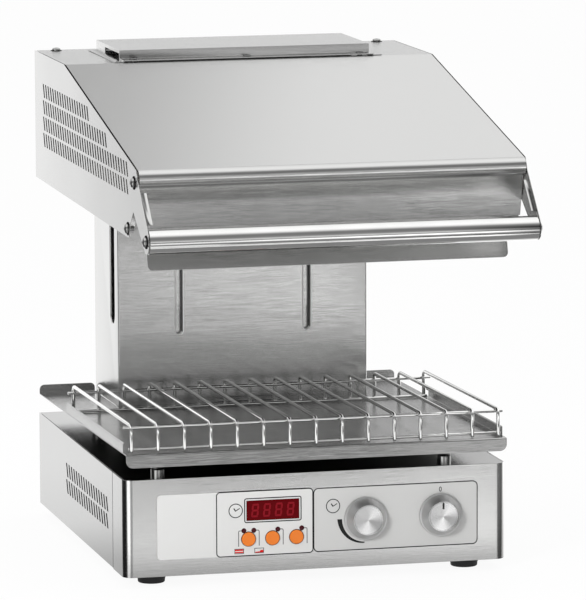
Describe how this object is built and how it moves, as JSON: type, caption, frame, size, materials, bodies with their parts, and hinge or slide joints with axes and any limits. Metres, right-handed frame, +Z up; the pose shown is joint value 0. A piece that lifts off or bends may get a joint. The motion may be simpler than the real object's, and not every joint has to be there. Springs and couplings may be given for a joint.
{
  "type": "salamander grill",
  "caption": "Countertop lift salamander grill: heated hood that slides up and down a rear column over a wire rack, a sloping drip tray and a control base.",
  "frame": {"origin": "middle of the bounding box in X and Y, on the surface that the feet stand on", "axes": "+Z up, +X to the right seen from the front, the controls and the handle face -Y"},
  "size_m": [0.483, 0.6664, 0.6113],
  "materials": {
    "steel": "brushed stainless sheet",
    "plain_steel": "plain zinc-plated sheet",
    "bright_steel": "polished stainless",
    "bright_wire": "bright plated wire",
    "foot_rubber": "moulded matt black",
    "gland_nylon": "moulded black",
    "overlay_film": "satin light grey film",
    "display_red": "dark red filter pane",
    "board_green": "circuit board",
    "button_orange": "satin orange",
    "knob_aluminium": "spun, with turning marks",
    "switch_plastic": "moulded pale grey",
    "cast_aluminium": "machined",
    "bush_brass": "turned",
    "black_paint": "black enamel",
    "black_glass": "polished glass ceramic",
    "insulation": "mineral fibre board",
    "element_sheath": "oxidised heater sheath"
  },
  "bodies": {
    "root": {"base_front_panel": "steel", "base_left_panel": "steel", "base_right_panel": "steel", "base_rear_panel": "steel", "base_top_plate": "steel", "base_floor": "steel", "foot_front_left": "foot_rubber", "foot_front_right": "foot_rubber", "foot_rear_left": "foot_rubber", "foot_rear_right": "foot_rubber", "cable_gland": "gland_nylon", "control_overlay": "overlay_film", "display_window": "display_red", "control_board": "board_green", "switch_timer": "switch_plastic", "switch_power": "switch_plastic", "terminal_block": "switch_plastic", "tray": "steel", "tray_post_front_left": "bright_steel", "tray_post_front_right": "bright_steel", "tray_post_rear_left": "bright_steel", "tray_post_rear_right": "bright_steel", "column_shell": "steel", "column_rear_cover": "steel", "column_foot_plate": "plain_steel", "column_top_plate": "plain_steel", "guide_rod_left": "bright_steel", "guide_rod_right": "bright_steel", "gas_spring_cylinder": "black_paint"},
    "hood": {"carriage": "cast_aluminium", "guide_bush_left": "bush_brass", "guide_bush_right": "bush_brass", "gas_spring_rod": "bright_steel", "hood_left_side": "steel", "hood_right_side": "steel", "hood_top_panel": "steel", "hood_front_panel": "steel", "hood_rear_panel": "steel", "vent_cap": "steel", "handle_tube": "bright_steel", "screw_nose_left": "bright_steel", "screw_nose_right": "bright_steel", "screw_body_left": "bright_steel", "screw_body_right": "bright_steel", "screw_handle_left": "bright_steel", "screw_handle_right": "bright_steel", "heater_frame": "steel", "glass_panel": "black_glass", "insulating_board": "insulation", "heating_element_left": "element_sheath", "heating_element_right": "element_sheath"},
    "timer_knob": {"knob_timer": "knob_aluminium", "spindle_timer": "bright_steel"},
    "power_knob": {"knob_power": "knob_aluminium", "spindle_power": "bright_steel"},
    "left_button": {"button_left": "button_orange"},
    "middle_button": {"button_middle": "button_orange"},
    "right_button": {"button_right": "button_orange"},
    "rack": {"wire_rack": "bright_wire"}
  },
  "joints": [
    {"name": "hood_lift", "type": "slide", "parent": "root", "child": "hood", "axis": [0, 0, 1], "range_m": [-0.14, 0]},
    {"name": "timer_turn", "type": "hinge", "parent": "root", "child": "timer_knob", "pos_m": [0.0605, -0.18475, 0.0724], "axis": [0, 1, 0], "range_deg": [0, 300]},
    {"name": "power_turn", "type": "hinge", "parent": "root", "child": "power_knob", "pos_m": [0.1543, -0.18475, 0.0724], "axis": [0, 1, 0], "range_deg": [0, 270]},
    {"name": "button_left_press", "type": "slide", "parent": "root", "child": "left_button", "axis": [0, 1, 0], "range_m": [0, 0.001], "stiffness_N_per_m": 400, "springref_m": -0.001},
    {"name": "button_middle_press", "type": "slide", "parent": "root", "child": "middle_button", "axis": [0, 1, 0], "range_m": [0, 0.001], "stiffness_N_per_m": 400, "springref_m": -0.001},
    {"name": "button_right_press", "type": "slide", "parent": "root", "child": "right_button", "axis": [0, 1, 0], "range_m": [0, 0.001], "stiffness_N_per_m": 400, "springref_m": -0.001},
    {"name": "rack_pull", "type": "slide", "parent": "root", "child": "rack", "axis": [0, -0.9999, 0.0166], "range_m": [0, 0.15]}
  ]
}
